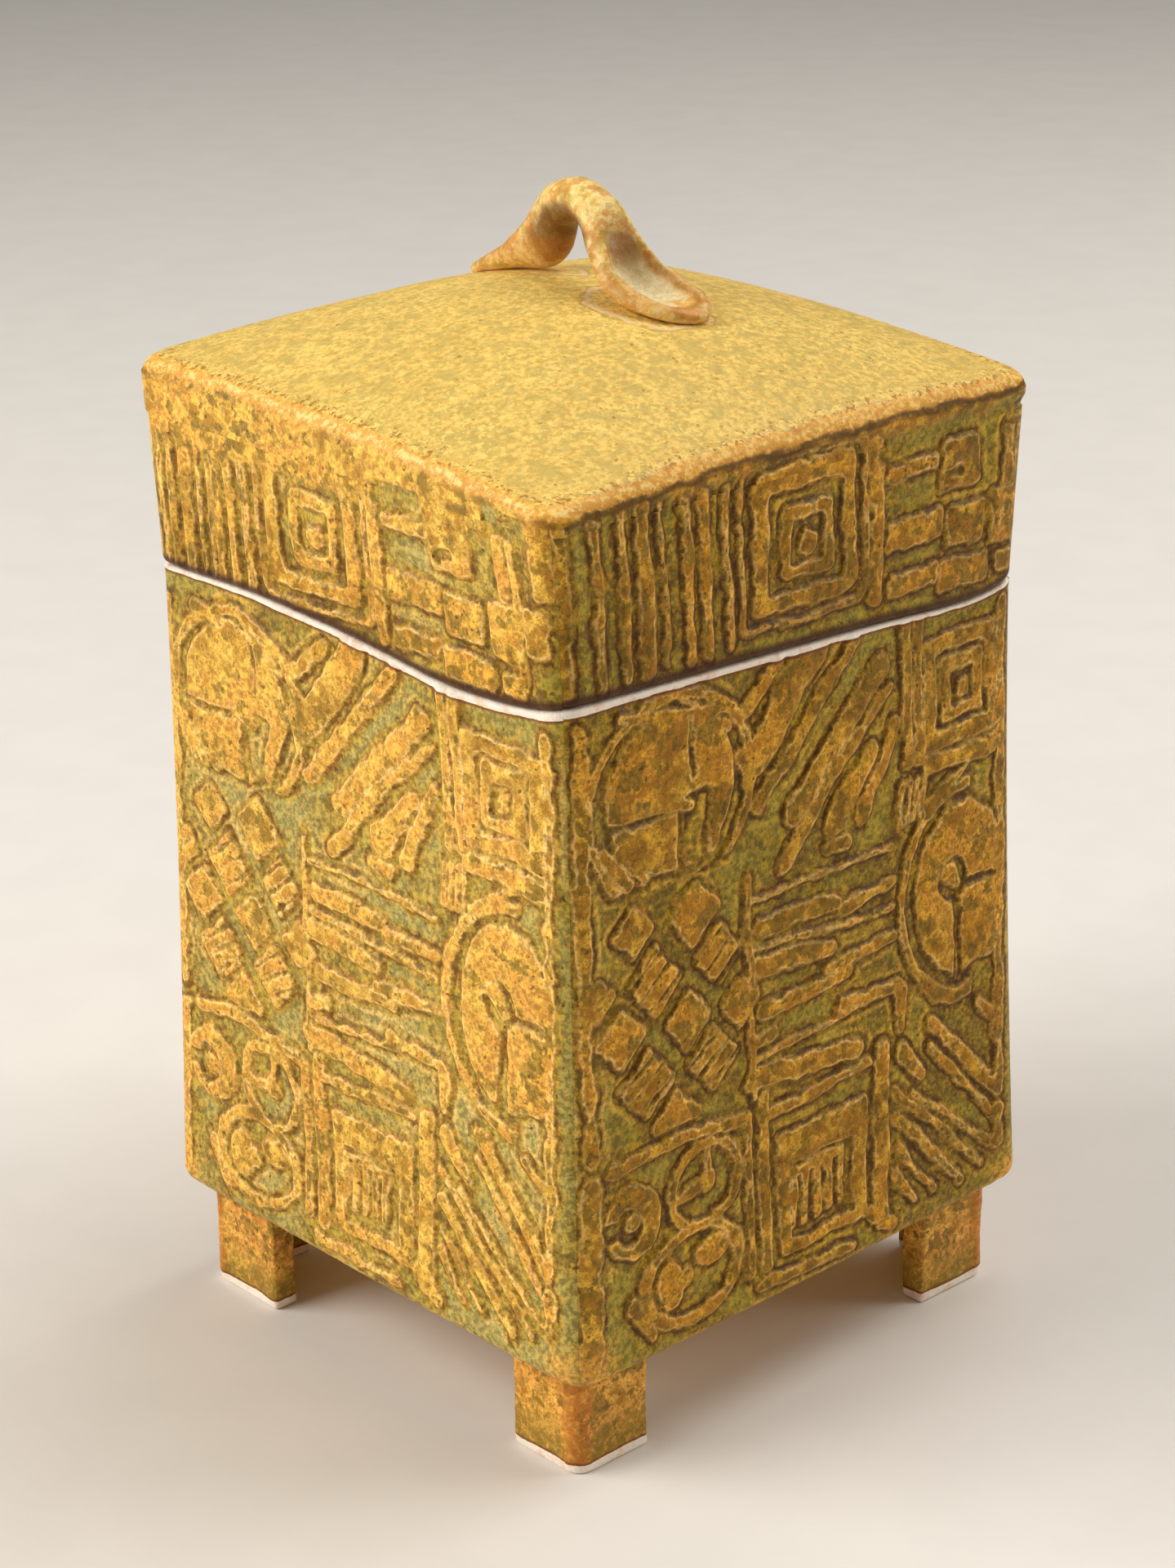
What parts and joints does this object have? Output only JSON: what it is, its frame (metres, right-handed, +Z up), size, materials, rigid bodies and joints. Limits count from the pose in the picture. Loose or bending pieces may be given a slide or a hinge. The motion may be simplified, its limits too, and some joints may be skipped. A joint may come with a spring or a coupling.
{
  "type": "ceramic lidded box",
  "caption": "Square hand-built stoneware box with pressed walls, L-shaped feet and a lift-off domed lid with a loop handle.",
  "frame": {"origin": "on the surface that the soles stand on, at the middle of the box's plan", "axes": "+Z up out of the mouth, -Y out of the front wall, which runs along the handle, +X out of the right wall"},
  "size_m": [0.1072, 0.1072, 0.1964],
  "materials": {
    "glazed_wall": "satin",
    "glazed_top": "satin",
    "bare_clay": "matte"
  },
  "bodies": {
    "body": {"floor_slab": "glazed_wall", "front_wall": "glazed_wall", "right_wall": "glazed_wall", "back_wall": "glazed_wall", "left_wall": "glazed_wall", "front_flange": "bare_clay", "right_flange": "bare_clay", "back_flange": "bare_clay", "left_flange": "bare_clay", "front_right_foot": "glazed_wall", "back_right_foot": "glazed_wall", "back_left_foot": "glazed_wall", "front_left_foot": "glazed_wall"},
    "lid": {"lid_front_wall": "glazed_wall", "lid_right_wall": "glazed_wall", "lid_back_wall": "glazed_wall", "lid_left_wall": "glazed_wall", "lid_top": "glazed_top", "handle": "glazed_wall"}
  },
  "joints": [
    {"name": "lid_lift", "type": "slide", "parent": "body", "child": "lid", "axis": [0, 0, 1], "range_m": [0, 0.12]}
  ]
}
